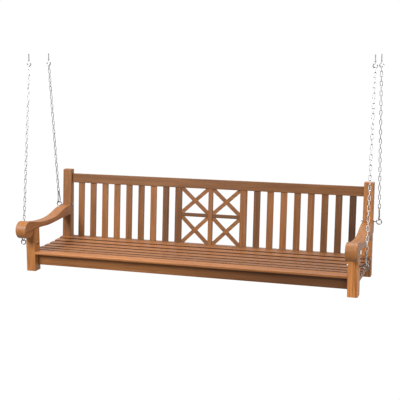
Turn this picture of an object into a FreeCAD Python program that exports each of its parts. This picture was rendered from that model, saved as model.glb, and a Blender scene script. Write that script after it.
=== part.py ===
import FreeCAD, Part
import math
import os
import re

import Sketcher
from FreeCAD import Placement, Rotation, Vector

# A long slatted porch swing: a teak bench hung from the ceiling on four steel chains.
#
# Bench frame, in which the sizes below are given: X along the bench with 0 in its middle,
# Y backwards with 0 at the front faces of the front posts, Z up with 0 at the feet of the posts.
# Model frame: the same directions, with the origin on the ceiling, midway between the four
# ceiling hooks. Every sub-part's Placement carries it from the bench frame to the model frame.

SIZES = (
    # name, value (mm unless it says otherwise), meaning
    ("bench_length", 2438.0, "over the outer faces of the posts"),
    ("post_width", 71.0, "along X"),
    ("front_post_depth", 80.0, "along Y"),
    ("front_post_height", 314.0, "foot to the underside of the arm"),
    ("rear_post_y", 585.0, "front face of the rear posts, below the lean"),
    ("rear_post_depth", 60.0, "below the lean"),
    ("rear_post_top_depth", 49.0, "at the top"),
    ("post_horn", 35.0, "rear post above the top rail"),
    ("post_round", 4.0, "rounding of the post edges"),
    ("back_foot", 152.0, "height where the back starts to lean"),
    ("back_slope", 0.0814, "run per unit of height of the leaning back"),
    ("back_inset", 34.0, "post face to the middle plane of the back"),
    ("back_opening", 421.4, "rear rail to top rail, along the lean"),
    ("top_rail_height", 71.0, "along the lean"),
    ("top_rail_thickness", 30.0, ""),
    ("rear_rail_height", 57.0, "along the lean"),
    ("rear_rail_thickness", 58.0, ""),
    ("front_rail_y", 43.0, "front face of the front rail"),
    ("front_rail_thickness", 27.0, ""),
    ("front_rail_bottom", 43.0, "height above the feet"),
    ("tenon_length", 24.0, "rail tenons in the posts"),
    ("tenon_thickness", 12.0, ""),
    ("tenon_shoulder", 10.0, "rail height left above and below a tenon"),
    ("side_tenon_height", 30.0, "side rail tenons"),
    ("joint_play", 0.1, "gap around a tenon in its mortise"),
    ("tenon_end_gap", 0.5, "mortises and housings are deeper than what they take"),
    ("side_rail_inset", 24.0, "post outer face to side rail outer face"),
    ("side_rail_thickness", 28.0, ""),
    ("side_rail_bottom", 55.0, "height above the feet"),
    ("bearer_spacing", 600.0, "between the cross bearers under the seat"),
    ("bearer_bottom", 62.0, "height above the feet"),
    ("bearer_step_gap", 6.0, "bearers rise to the dished slats this far before the second slat"),
    ("slat_thickness", 20.0, "seat slats"),
    ("slat_width", 60.0, "seat slats"),
    ("slat_round", 2.0, "rounding of the slat edges"),
    ("front_slat_width", 88.0, ""),
    ("front_slat_round", 7.0, "rounding of the front slat's nose"),
    ("front_slat_top", 144.0, "height above the feet"),
    ("seat_start_y", 110.0, "front edge of the second slat"),
    ("rear_slat_width", 51.0, "the slat against the rear posts"),
    ("seat_low_shift", -53.5, "lowest line of the seat, from the middle of its dished part"),
    ("seat_low_z", 136.5, "height of the seat there"),
    ("seat_dish_radius", 2612.0, "of the dished seat"),
    ("seat_gap", 0.3, "slats clear of the rounded bearer tops and of the rear posts"),
    ("back_slat_width", 49.0, ""),
    ("back_slat_thickness", 14.0, ""),
    ("housing_depth", 15.0, "back slats let into the rails"),
    ("stile_width", 52.0, "outer stiles of the lattice panel"),
    ("stile_thickness", 22.0, ""),
    ("panel_half_width", 283.0, "middle of the bench to the outer side of a stile"),
    ("centre_stile_width", 34.0, ""),
    ("mid_rail_bottom", 204.5, "above the rear rail, along the lean"),
    ("mid_rail_height", 27.0, ""),
    ("mid_rail_thickness", 18.0, ""),
    ("mid_rail_tenon", 8.0, "mid rail let into the stiles"),
    ("lattice_width", 28.0, "diagonal bars"),
    ("lattice_thickness", 14.0, ""),
    ("edge_round", 2.0, "rounding of the thin back members"),
    ("rail_round", 3.0, "rounding of the rails"),
    ("arm_width", 82.0, "flush with the inner faces of the posts"),
    ("arm_scroll_radius", 62.5, "rounded front end of the arm"),
    ("arm_scroll_y", -68.0, "centre of the scroll"),
    ("arm_scroll_rise", 8.0, "centre of the scroll above the post"),
    ("arm_round", 5.0, "rounding of the arm edges"),
    ("eye_wire", 4.0, "radius of the eye bolt rod"),
    ("eye_radius", 18.0, "eye bolt ring, to the middle of its wire"),
    ("eye_standoff", 43.0, "post outer face to the ring centre"),
    ("eye_tip", 15.0, "eye bolt beyond the post inner face"),
    ("eye_neck_step", 0.6, "the shank is thinner by this where it meets the ring"),
    ("front_eye_y", 40.0, "eye bolt behind the face of the front post"),
    ("front_eye_z", 206.0, "height above the feet"),
    ("rear_eye_setback", 22.8, "eye bolt behind the leaning face of the rear post"),
    ("rear_eye_z", 400.0, "height above the feet"),
    ("bolt_play", 0.3, "radial gap of the eye bolt in its hole"),
    ("washer_play", 0.2, "radial gap of the eye bolt in its washers"),
    ("nut_play", 0.05, "radial gap of the eye bolt in its nuts"),
    ("nut_flats", 13.0, "across flats"),
    ("nut_thickness", 6.5, ""),
    ("washer_radius", 9.0, ""),
    ("washer_thickness", 1.6, ""),
    ("ceiling_height", 1535.0, "ceiling above the feet of the posts"),
    ("front_chain_run", 168.7, "ceiling hook behind its front eye bolt"),
    ("rear_chain_run", 111.3, "ceiling hook in front of its rear eye bolt"),
    ("hook_wire", 4.0, "radius of the ceiling hook rod"),
    ("hook_radius", 14.0, "ceiling hook bend, to the middle of its wire"),
    ("hook_shoulder_radius", 8.0, "where the shank turns into the bend"),
    ("hook_neck", 15.0, "top of the bend to the ceiling"),
    ("hook_tip_radius", 4.6, "rounded end of the bend"),
    ("hook_collar_radius", 9.0, ""),
    ("hook_collar_thickness", 3.0, ""),
    ("hook_screw_length", 45.0, "shank in the ceiling"),
    ("link_wire", 2.5, "radius of the chain wire"),
    ("link_inner_length", 33.85, ""),
    ("link_inner_width", 10.5, ""),
    ("link_gap", 0.3, "least gap between neighbouring links"),
    ("snap_wire", 4.0, "radius of the snap hook wire"),
    ("snap_narrow_radius", 7.5, "narrow end, to the middle of the wire"),
    ("snap_wide_radius", 18.0, "wide end, to the middle of the wire"),
    ("snap_length", 100.0, "overall"),
    ("snap_tongue", 3.2, "thickness of the flat tongue that the gate straddles"),
    ("gate_wire", 3.2, "radius of the gate"),
    ("gate_ear", 1.6, "thickness of the gate's two ears"),
    ("gate_rivet", 1.5, "radius of the gate rivet"),
    ("rivet_play", 0.05, "radial gap of the rivet in the tongue"),
    ("rivet_proud", 0.4, "rivet stands out of the ears"),
    ("gate_start", 9.0, "free end of the gate, along the straight side"),
    ("gate_hinge", 52.0, "rivet, along the straight side"),
    ("gate_gap", 0.4, "play at the gate's free end and beside its ears"),
    ("peg_radius", 4.0, "wooden pegs across the tenons"),
    ("peg_proud", 0.4, "pegs stand out of the wood"),
    ("arm_dowel_radius", 6.0, ""),
    ("arm_dowel_length", 60.0, ""),
    ("screw_radius", 2.2, "seat screws"),
    ("screw_head_radius", 4.4, ""),
    ("screw_head_thickness", 2.4, ""),
    ("screw_sink", 3.0, "depth of the recess for a screw head"),
    ("screw_play", 0.2, "radial gap of a screw in its slat"),
    ("front_screw_inset", 100.0, "end screws of the front slat, from the posts"),
    ("screw_length", 42.0, ""),
)

# The arm's outline behind its scroll: share of the distance to the rear post, rise above the
# front post. The top line starts on the scroll and the lower line on the post.
ARM_TOP = ((0.10, 48.0), (0.34, 34.0), (0.58, 38.5), (0.75, 60.5), (0.89, 80.5))
ARM_TOP_END = 87.0
ARM_UNDER = ((0.34, -6.0), (0.58, -2.5), (0.75, 4.0))
ARM_UNDER_END = 9.0
ARM_TANGENT = math.radians(83.0)
HOOK_TIP = math.radians(20.0)

SIDES = (("left", -1), ("right", 1))
SEAT_SLATS = 7
BACK_SLATS = 8
# Grams per cubic centimetre.
STEEL = 7.85
TEAK = 0.65

doc = FreeCAD.newDocument("porch_swing")
size = {}
nodes = []


def fill_sheet():
    """The spreadsheet of driving dimensions, one named cell for each."""
    sheet = doc.addObject("Spreadsheet::Sheet", "Sizes")
    for row, (name, value, meaning) in enumerate(SIZES, start=1):
        sheet.set("A%d" % row, name)
        sheet.set("B%d" % row, repr(value))
        sheet.set("C%d" % row, meaning)
        sheet.setAlias("B%d" % row, name)
    doc.recompute()
    for name, _, _ in SIZES:
        size[name] = float(sheet.get(name))


def bind(text):
    """An expression with each size's name turned into its cell."""
    swap = lambda found: "Sizes." + found.group(0) if found.group(0) in size else found.group(0)
    return re.sub(r"[a-z_]+", swap, text)


# Lengths and places that several pieces share, as expressions.
INNER = "(bench_length / 2 - post_width)"
OUTER = "(bench_length / 2)"
REAR_EYE_Y = "(rear_post_y + back_slope * (rear_eye_z - back_foot) + rear_eye_setback)"
SHIFT_Y = "(-(front_eye_y + front_chain_run + %s - rear_chain_run) / 2)" % REAR_EYE_Y
SHIFT_Z = "(-ceiling_height)"
BACK_Y = "(rear_post_y + back_inset)"
LEAN = "atan(back_slope)"
SCALE = "sqrt(1 + back_slope * back_slope)"
POST_TOP = "(back_foot + (back_opening + top_rail_height) / %s + post_horn)" % SCALE
SEAT_LOW_Y = "((seat_start_y + rear_post_y) / 2 + seat_low_shift)"
SEAT_PITCH = "((rear_post_y - rear_slat_width - seat_start_y) / %d)" % (SEAT_SLATS - 2)
SIDE_RAIL_OUTER = "(bench_length / 2 - side_rail_inset)"
SIDE_RAIL_INNER = "(bench_length / 2 - side_rail_inset - side_rail_thickness)"
SLAT_UNDERSIDE = "(front_slat_top - slat_thickness)"


def place(piece, where=("0", "0", "0"), axis="1; 0; 0", angle="0"):
    """Bind a piece's Placement: a place in the bench frame, carried into the model frame."""
    x, y, z = where
    text = "placement(vector(%s; %s + %s; %s + %s); rotation(vector(%s); %s))"
    piece.setExpression("Placement", bind(text % (x, SHIFT_Y, y, SHIFT_Z, z, axis, angle)))


def keep(piece, name):
    """Name a piece as a node of the swing."""
    piece.Label = name
    nodes.append(piece)
    return piece


def origin_plane(body, role):
    return [item for item in body.Origin.OriginFeatures if item.Role == role][0]


def attach(sketch, body, plane, start, length, leaning=False):
    """Lay a sketch across the range that starts at start and runs for length."""
    sketch.AttachmentSupport = [(origin_plane(body, plane + "_Plane"), "")]
    sketch.MapMode = "FlatFace"
    # The XZ plane faces -Y, so its sketch goes to the far end of the range.
    offset = "-(%s + %s)" % (start, length) if plane == "XZ" else start
    if leaning:
        text = "placement(vector(%s; back_foot; %s); rotation(vector(0; 0; 1); -%s))"
        sketch.setExpression("AttachmentOffset", bind(text % (BACK_Y, offset, LEAN)))
    else:
        sketch.setExpression("AttachmentOffset.Base.z", bind(offset))


def hold(sketch, geometry, point, u, v):
    """Fix a sketch point at bound distances from the sketch's origin."""
    for kind, text in (("DistanceX", u), ("DistanceY", v)):
        index = sketch.addConstraint(Sketcher.Constraint(kind, -1, 1, geometry, point, 1.0))
        sketch.setExpression("Constraints[%d]" % index, bind(text))


def outline(sketch, corners):
    """A closed outline of straight lines through bound corners."""
    count = len(corners)
    turn = [2 * math.pi * index / count for index in range(count)]
    rough = [Vector(100 * math.cos(angle), 100 * math.sin(angle), 0) for angle in turn]
    for index in range(count):
        sketch.addGeometry(Part.LineSegment(rough[index], rough[(index + 1) % count]))
    for index in range(count):
        after = (index + 1) % count
        sketch.addConstraint(Sketcher.Constraint("Coincident", index, 2, after, 1))
    for index, (u, v) in enumerate(corners):
        hold(sketch, index, 1, u, v)


def circle(sketch, u, v, radius):
    """A circle with a bound centre and radius."""
    index = sketch.addGeometry(Part.Circle(Vector(0, 0, 0), Vector(0, 0, 1), 5.0))
    number = sketch.addConstraint(Sketcher.Constraint("Radius", index, 5.0))
    sketch.setExpression("Constraints[%d]" % number, bind(radius))
    hold(sketch, index, 3, u, v)


def rectangle(u_low, u_high, v_low, v_high):
    return ((u_low, v_low), (u_high, v_low), (u_high, v_high), (u_low, v_high))


def add_sketch(body, plane, start, length, leaning=False):
    name = "%s_sketch_%d" % (body.Name, len(body.Group))
    sketch = body.newObject("Sketcher::SketchObject", name)
    attach(sketch, body, plane, start, length, leaning)
    return sketch


def pad(body, plane, corners, start, length):
    """Add a prism of the outline, from start for length along the plane's own axis."""
    sketch = add_sketch(body, plane, start, length)
    outline(sketch, corners)
    feature = body.newObject("PartDesign::Pad", "%s_pad_%d" % (body.Name, len(body.Group)))
    feature.Profile = sketch
    feature.setExpression("Length", bind(length))
    return feature


def pocket(body, plane, start, length, corners=(), circles=(), leaning=False):
    """Cut a prism of the outline or circles out of a body."""
    sketch = add_sketch(body, plane, start, length, leaning)
    if corners:
        outline(sketch, corners)
    for u, v, radius in circles:
        circle(sketch, u, v, radius)
    doc.recompute()
    before = body.Shape.Volume
    feature = body.newObject("PartDesign::Pocket", "%s_cut_%d" % (body.Name, len(body.Group)))
    feature.Profile = sketch
    feature.Reversed = True
    feature.setExpression("Length", bind(length))
    doc.recompute()
    if not body.Shape.Volume < before:
        raise ValueError("a cut in %s removes nothing" % body.Name)
    return feature


def edges_along(shape, axis):
    """Names of a shape's straight edges that run along an axis."""
    found = []
    for number, edge in enumerate(shape.Edges, start=1):
        if edge.Curve.TypeId != "Part::GeomLine":
            continue
        step = edge.Vertexes[1].Point - edge.Vertexes[0].Point
        if abs(step.normalize().dot(axis)) > 0.999:
            found.append("Edge%d" % number)
    return found


def edges_where(shape, test):
    return ["Edge%d" % number for number, edge in enumerate(shape.Edges, start=1) if test(edge)]


def soften(body, feature, names, radius):
    """Round the named edges of a body's last feature."""
    rounding = body.newObject("PartDesign::Fillet", body.Name + "_rounding")
    rounding.Base = (feature, names)
    rounding.setExpression("Radius", bind(radius))
    return rounding


def board(name, plane, corners, start, length, radius="edge_round"):
    """A straight board: a prism whose long edges are rounded."""
    body = doc.addObject("PartDesign::Body", name)
    prism = pad(body, plane, corners, start, length)
    doc.recompute()
    axis = {"YZ": Vector(1, 0, 0), "XZ": Vector(0, 1, 0), "XY": Vector(0, 0, 1)}[plane]
    soften(body, prism, edges_along(prism.Shape, axis), radius)
    return body


def in_back_frame(piece, x="0"):
    """Stand a piece of the back on the rear rail, leaning with the posts."""
    place(piece, (x, BACK_Y, "back_foot"), "1; 0; 0", "-" + LEAN)


def group(name, pieces):
    """One node of several separate solids."""
    compound = doc.addObject("Part::Compound", name)
    compound.Links = pieces
    return keep(compound, name)


# ---------------------------------------------------------------- posts

MORTISE_DEPTH = "(tenon_length + tenon_end_gap)"


def mortise_start(side):
    """Where a mortise in a post's inner face starts, along X."""
    return "0" if side > 0 else "-" + MORTISE_DEPTH


def side_rail_section(side, play):
    """A side rail tenon's cross-section, seen along Y, in a post's own frame."""
    middle = "%d * (%s + side_rail_thickness / 2 - %s)" % (side, SIDE_RAIL_INNER, INNER)
    half = "(tenon_thickness / 2 + %s)" % play
    low = "(side_rail_bottom + tenon_shoulder - %s)" % play
    high = "(side_rail_bottom + tenon_shoulder + side_tenon_height + %s)" % play
    return rectangle("%s - %s" % (middle, half), "%s + %s" % (middle, half), low, high)


def cut_bolt_hole(body, side, y, z):
    start = "-1" if side > 0 else "-(post_width + 1)"
    pocket(body, "YZ", start, "(post_width + 2)", circles=[(y, z, "(eye_wire + bolt_play)")])


def front_post(word, side):
    """A square post with a mortise for each rail and a hole for the eye bolt."""
    body = doc.addObject("PartDesign::Body", word + "_front_post")
    low, high = ("0", "post_width") if side > 0 else ("-post_width", "0")
    shape = rectangle(low, high, "0", "front_post_depth")
    prism = pad(body, "XY", shape, "0", "front_post_height")
    doc.recompute()
    below_top = lambda edge: edge.CenterOfMass.z < size["front_post_height"] - 1
    soften(body, prism, edges_where(prism.Shape, below_top), "post_round")
    cut_bolt_hole(body, side, "front_eye_y", "front_eye_z")
    middle = "(front_rail_y + front_rail_thickness / 2)"
    half = "(tenon_thickness / 2 + joint_play)"
    pocket(body, "YZ", mortise_start(side), MORTISE_DEPTH, rectangle(
        "%s - %s" % (middle, half), "%s + %s" % (middle, half),
        "front_rail_bottom + tenon_shoulder - joint_play",
        "%s - tenon_shoulder + joint_play" % SLAT_UNDERSIDE))
    pocket(body, "XZ", "(front_post_depth - tenon_length)", "(tenon_length + 1)",
           side_rail_section(side, "joint_play"))
    place(body, ("%d * %s" % (side, INNER), "0", "0"))
    keep(body, body.Name)


def rear_post(word, side):
    """A post that stands upright to the seat and leans back above it."""
    body = doc.addObject("PartDesign::Body", word + "_rear_post")
    lean_run = "back_slope * (%s - back_foot)" % POST_TOP
    corners = (
        ("rear_post_y", "0"),
        ("rear_post_y + rear_post_depth", "0"),
        ("rear_post_y + rear_post_depth", "back_foot"),
        ("rear_post_y + %s + rear_post_top_depth" % lean_run, POST_TOP),
        ("rear_post_y + %s" % lean_run, POST_TOP),
        ("rear_post_y", "back_foot"),
    )
    start = "0" if side > 0 else "-post_width"
    prism = pad(body, "YZ", corners, start, "post_width")
    doc.recompute()
    at_bend = lambda edge: abs(edge.CenterOfMass.z - size["back_foot"]) < 1
    soften(body, prism, edges_where(prism.Shape, lambda edge: not at_bend(edge)), "post_round")
    cut_bolt_hole(body, side, REAR_EYE_Y, "rear_eye_z")
    half = "(tenon_thickness / 2 + joint_play)"
    for low, high in (
        ("-rear_rail_height + tenon_shoulder - joint_play", "-tenon_shoulder + joint_play"),
        ("back_opening + tenon_shoulder - joint_play",
         "back_opening + top_rail_height - tenon_shoulder + joint_play"),
    ):
        pocket(body, "YZ", mortise_start(side), MORTISE_DEPTH,
               rectangle("-" + half, half, low, high), leaning=True)
    pocket(body, "XZ", "(rear_post_y - 1)", "(tenon_length + 1)",
           side_rail_section(side, "joint_play"))
    place(body, ("%d * %s" % (side, INNER), "0", "0"))
    keep(body, body.Name)


# ---------------------------------------------------------------- rails and bearers

def tenoned_rail(name, section, tenon, place_it):
    """A rail between the posts with a tenon at each end."""
    body = board(name, "YZ", section, "-" + INNER, "(2 * %s)" % INNER, "rail_round")
    pad(body, "YZ", tenon, "-(%s + tenon_length)" % INNER, "(2 * (%s + tenon_length))" % INNER)
    place_it(body)
    return keep(body, name)


def front_rail():
    middle = "(front_rail_y + front_rail_thickness / 2)"
    section = rectangle("front_rail_y", "front_rail_y + front_rail_thickness",
                        "front_rail_bottom", SLAT_UNDERSIDE)
    tenon = rectangle("%s - tenon_thickness / 2" % middle, "%s + tenon_thickness / 2" % middle,
                      "front_rail_bottom + tenon_shoulder",
                      "%s - tenon_shoulder" % SLAT_UNDERSIDE)
    tenoned_rail("front_rail", section, tenon, place)


def slat_places():
    """Middle of each back slat, as expressions, from the left end to the right."""
    gap = "((%s - panel_half_width - %d * back_slat_width) / %d)"
    gap = gap % (INNER, BACK_SLATS, BACK_SLATS + 1)
    step = "(back_slat_width + %s)" % gap
    left = ["-%s + %s + back_slat_width / 2 + %d * %s" % (INNER, gap, index, step)
            for index in range(BACK_SLATS)]
    right = ["-(%s)" % text for text in reversed(left)]
    return left, right


def upright_housings():
    """Middle, width and thickness of every upright that is let into the rails of the back."""
    left, right = slat_places()
    found = [(text, "back_slat_width", "back_slat_thickness") for text in left + right]
    for side in (-1, 1):
        middle = "%d * (panel_half_width - stile_width / 2)" % side
        found.append((middle, "stile_width", "stile_thickness"))
    found.append(("0", "centre_stile_width", "stile_thickness"))
    return found


def back_rail(name, low, high, thickness, housing_low):
    """A rail of the back, housed for the slats and the stiles."""
    body = board(name, "YZ", rectangle("-%s / 2" % thickness, "%s / 2" % thickness, low, high),
                 "-" + INNER, "(2 * %s)" % INNER, "rail_round")
    pad(body, "YZ", rectangle("-tenon_thickness / 2", "tenon_thickness / 2",
                              "%s + tenon_shoulder" % low, "%s - tenon_shoulder" % high),
        "-(%s + tenon_length)" % INNER, "(2 * (%s + tenon_length))" % INNER)
    sketch = add_sketch(body, "XY", housing_low, HOUSING)
    doc.recompute()
    before = body.Shape.Volume
    for index, (middle, width, thick) in enumerate(upright_housings()):
        housing(sketch, index, middle, width, thick)
    feature = body.newObject("PartDesign::Pocket", name + "_housings")
    feature.Profile = sketch
    feature.Reversed = True
    feature.setExpression("Length", bind(HOUSING))
    doc.recompute()
    if not body.Shape.Volume < before:
        raise ValueError("the housings of %s remove nothing" % name)
    in_back_frame(body)
    keep(body, name)


HOUSING = "(housing_depth + tenon_end_gap)"


def housing(sketch, index, middle, width, thick):
    """One rectangle of a rail's row of housings."""
    corners = rectangle("%s - %s / 2 - joint_play" % (middle, width),
                        "%s + %s / 2 + joint_play" % (middle, width),
                        "-%s / 2 - joint_play" % thick, "%s / 2 + joint_play" % thick)
    first = 4 * index
    rough = (Vector(0, 0, 0), Vector(9, 0, 0), Vector(9, 9, 0), Vector(0, 9, 0))
    for corner in range(4):
        after = (corner + 1) % 4
        sketch.addGeometry(Part.LineSegment(rough[corner], rough[after]))
    for corner in range(4):
        after = (corner + 1) % 4
        sketch.addConstraint(
            Sketcher.Constraint("Coincident", first + corner, 2, first + after, 1))
    for corner, (u, v) in enumerate(corners):
        hold(sketch, first + corner, 1, u, v)


def cut_seat_line(body, start, length):
    """Take everything above the underside of the dished seat off a rail or bearer."""
    pocket(body, "YZ", start, length, circles=[
        (SEAT_LOW_Y, "seat_low_z + seat_dish_radius",
         "seat_dish_radius + slat_thickness + seat_gap")])


def side_rail(word, side):
    """A rail under the slat ends, between the front and the rear post."""
    name = word + "_side_rail"
    body = doc.addObject("PartDesign::Body", name)
    low = SIDE_RAIL_INNER if side > 0 else "-" + SIDE_RAIL_OUTER
    high_z = "(seat_low_z + 2 * slat_thickness)"
    pad(body, "YZ", rectangle("front_post_depth", "rear_post_y", "side_rail_bottom", high_z),
        low, "side_rail_thickness")
    pad(body, "YZ", rectangle("front_post_depth - tenon_length + tenon_end_gap",
                              "rear_post_y + tenon_length - tenon_end_gap",
                              "side_rail_bottom + tenon_shoulder",
                              "side_rail_bottom + tenon_shoulder + side_tenon_height"),
        "%s + side_rail_thickness / 2 - tenon_thickness / 2" % low, "tenon_thickness")
    cut_seat_line(body, "%s - 1" % low, "(side_rail_thickness + 2)")
    place(body)
    keep(body, name)


def seat_bearers():
    """Cross bearers under the slats, from the front rail to the leaning rear rail."""
    pieces = []
    front = "(front_rail_y + front_rail_thickness)"
    step = "(seat_start_y - bearer_step_gap)"
    rail_face = "(%s + back_slope * (%s - back_foot) - (rear_rail_thickness / 2 + joint_play) * %s)"
    flat = "(%s - seat_gap)" % SLAT_UNDERSIDE
    high = "(seat_low_z + 2 * slat_thickness)"
    corners = ((front, "bearer_bottom"), (rail_face % (BACK_Y, "bearer_bottom", SCALE),
               "bearer_bottom"), (rail_face % (BACK_Y, high, SCALE), high), (step, high),
               (step, flat), (front, flat))
    for index in (-1, 0, 1):
        body = doc.addObject("PartDesign::Body", "bearer_%d" % (index + 2))
        pad(body, "YZ", corners, "-side_rail_thickness / 2", "side_rail_thickness")
        cut_seat_line(body, "-side_rail_thickness / 2 - 1", "(side_rail_thickness + 2)")
        place(body, ("%d * bearer_spacing" % index, "0", "0"))
        pieces.append(body)
    group("seat_bearers", pieces)


# ---------------------------------------------------------------- seat

def screw_places(first_slat):
    """X of the screws through a seat slat."""
    end = "%s - front_screw_inset" % INNER if first_slat else (
        "%s - side_rail_thickness / 2" % SIDE_RAIL_OUTER)
    return {-2: "-(%s)" % end, -1: "-bearer_spacing", 0: "0", 1: "bearer_spacing", 2: end}


def sink_screws(body, first_slat, y):
    """A through hole and a recess for each screw, from a slat's top face."""
    across = [(x, y) for x in screw_places(first_slat).values()]
    pocket(body, "XY", "-(slat_thickness + 1)", "(slat_thickness + 2)",
           circles=[(x, v, "screw_radius + screw_play") for x, v in across])
    pocket(body, "XY", "-screw_sink", "(screw_sink + 1)",
           circles=[(x, v, "screw_head_radius + screw_play") for x, v in across])


def slat_frame(number):
    """Middle of a dished slat's top and its tilt, as expressions."""
    if number == SEAT_SLATS:
        # Its tilt swings the lower back edge towards the posts, so it stands off by that much.
        y = "(rear_post_y - seat_gap - rear_slat_width / 2)"
        y = "(%s - slat_thickness * (%s - %s) / seat_dish_radius)" % (y, y, SEAT_LOW_Y)
    else:
        y = "(seat_start_y + slat_width / 2 + %d * %s)" % (number - 2, SEAT_PITCH)
    run = "(%s - %s)" % (y, SEAT_LOW_Y)
    z = "(seat_low_z + seat_dish_radius - sqrt(seat_dish_radius ^ 2 - %s ^ 2))" % run
    return y, z, "asin(%s / seat_dish_radius)" % run


def seat_slat(number):
    name = "seat_slat_%d" % number
    if number == 1:
        body = doc.addObject("PartDesign::Body", name)
        prism = pad(body, "YZ", rectangle("0", "front_slat_width", "-slat_thickness", "0"),
                    "-" + INNER, "(2 * %s)" % INNER)
        doc.recompute()
        along = edges_along(prism.Shape, Vector(1, 0, 0))
        nose = [text for text in along if prism.Shape.Edges[int(text[4:]) - 1].CenterOfMass.y < 1]
        rounding = soften(body, prism, nose, "front_slat_round")
        doc.recompute()
        far = lambda edge: (edge.Curve.TypeId == "Part::GeomLine"
                            and abs(edge.CenterOfMass.y - size["front_slat_width"]) < 0.01
                            and edge.Length > size["front_slat_width"])
        second = body.newObject("PartDesign::Fillet", name + "_heel")
        second.Base = (rounding, edges_where(rounding.Shape, far))
        second.setExpression("Radius", "Sizes.slat_round")
        sink_screws(body, True, "front_rail_y + front_rail_thickness / 2")
        place(body, ("0", "0", "front_slat_top"))
    else:
        width = "rear_slat_width" if number == SEAT_SLATS else "slat_width"
        body = board(name, "YZ", rectangle("-%s / 2" % width, "%s / 2" % width,
                                           "-slat_thickness", "0"),
                     "-" + OUTER, "(2 * %s)" % OUTER, "slat_round")
        sink_screws(body, False, "0")
        y, z, tilt = slat_frame(number)
        place(body, ("0", y, z), "1; 0; 0", tilt)
    keep(body, name)


def seat_screws():
    """One screw wherever a slat crosses a rail or a bearer."""
    pieces = []
    for number in range(1, SEAT_SLATS + 1):
        if number == 1:
            frame = ("front_rail_y + front_rail_thickness / 2", "front_slat_top", "0")
        else:
            frame = slat_frame(number)
        for share, x in screw_places(number == 1).items():
            pieces.append(screw("screw_%d_%d" % (number, share + 2), x, frame))
    group("seat_screws", pieces)


def screw(name, x, frame):
    """A flat-headed screw that points down out of a slat."""
    y, z, tilt = frame
    head = doc.addObject("Part::Cylinder", name + "_head")
    head.setExpression("Radius", bind("screw_head_radius"))
    head.setExpression("Height", bind("screw_head_thickness"))
    head.setExpression("Placement.Base.z", bind("-screw_sink"))
    shank = doc.addObject("Part::Cylinder", name + "_shank")
    shank.setExpression("Radius", bind("screw_radius"))
    shank.setExpression("Height", bind("screw_length"))
    shank.setExpression("Placement.Base.z", bind("-screw_sink - screw_length"))
    whole = doc.addObject("Part::MultiFuse", name)
    whole.Shapes = [head, shank]
    place(whole, (x, y, z), "1; 0; 0", tilt)
    return whole


# ---------------------------------------------------------------- back

def upright(name, middle, width, thickness):
    """A slat or stile of the back, housed at both ends."""
    section = rectangle("-%s / 2" % width, "%s / 2" % width,
                        "-%s / 2" % thickness, "%s / 2" % thickness)
    body = board(name, "XY", section, "-housing_depth", "(back_opening + 2 * housing_depth)")
    in_back_frame(body, middle)
    return body


def mid_rails():
    """The two halves of the lattice panel's middle rail, housed in the stiles."""
    pieces = []
    inside = "(panel_half_width - stile_width)"
    for word, side in SIDES:
        start = "(centre_stile_width / 2 - mid_rail_tenon)"
        length = "(%s - centre_stile_width / 2 + 2 * mid_rail_tenon)" % inside
        if side < 0:
            start = "-(%s + mid_rail_tenon)" % inside
        half = "mid_rail_thickness / 2"
        body = board(word + "_mid_rail", "YZ", rectangle(
            "-" + half, half, "mid_rail_bottom", "mid_rail_bottom + mid_rail_height"),
            start, length)
        in_back_frame(body)
        pieces.append(body)
    group("mid_rails", pieces)


def cut_mid_rail_mortises(body, starts):
    """Mortises for the mid rail, in a stile's own frame."""
    half = "(mid_rail_thickness / 2 + joint_play)"
    for start in starts:
        pocket(body, "YZ", start, "(mid_rail_tenon + 1)", rectangle(
            "-" + half, half, "mid_rail_bottom - joint_play",
            "mid_rail_bottom + mid_rail_height + joint_play"))


def stiles():
    for word, side in SIDES:
        body = upright(word + "_stile", "%d * (panel_half_width - stile_width / 2)" % side,
                       "stile_width", "stile_thickness")
        start = "(-stile_width / 2 - 1)" if side > 0 else "(stile_width / 2 - mid_rail_tenon)"
        cut_mid_rail_mortises(body, [start])
        keep(body, body.Name)
    body = upright("centre_stile", "0", "centre_stile_width", "stile_thickness")
    cut_mid_rail_mortises(body, ["(-centre_stile_width / 2 - 1)",
                                 "(centre_stile_width / 2 - mid_rail_tenon)"])
    keep(body, body.Name)


def lattice_bar(name, x_low, x_high, z_low, z_high, rising):
    """A diagonal bar of one cell, cut to the cell's corners and half-lapped at its middle."""
    wide = "(%s - %s)" % (x_high, x_low)
    tall = "(%s - %s)" % (z_high, z_low)
    length = "sqrt(%s ^ 2 + %s ^ 2)" % (wide, tall)
    run = "(lattice_width / 2 * %s / %s)" % (length, tall)
    rise = "(lattice_width / 2 * %s / %s)" % (length, wide)
    ends = ((x_low, z_low, 1, 1), (x_high, z_high, -1, -1))
    if not rising:
        ends = ((x_low, z_high, 1, -1), (x_high, z_low, -1, 1))
    corners = []
    for x, z, across, up in ends:
        along_x = ("%s + %d * %s" % (x, across, run), z)
        along_z = (x, "%s + %d * %s" % (z, up, rise))
        corners += [along_z, (x, z), along_x]
    body = doc.addObject("PartDesign::Body", name)
    prism = pad(body, "XZ", corners, "-lattice_thickness / 2", "lattice_thickness")
    middle_x = "(%s + %s) / 2" % (x_low, x_high)
    middle_z = "(%s + %s) / 2" % (z_low, z_high)
    lap = (("%s - %s" % (middle_x, run), middle_z), (middle_x, "%s - %s" % (middle_z, rise)),
           ("%s + %s" % (middle_x, run), middle_z), (middle_x, "%s + %s" % (middle_z, rise)))
    start = "0" if rising else "(-lattice_thickness / 2)"
    pocket(body, "XZ", start, "(lattice_thickness / 2)", lap)
    in_back_frame(body)
    return body


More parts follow.
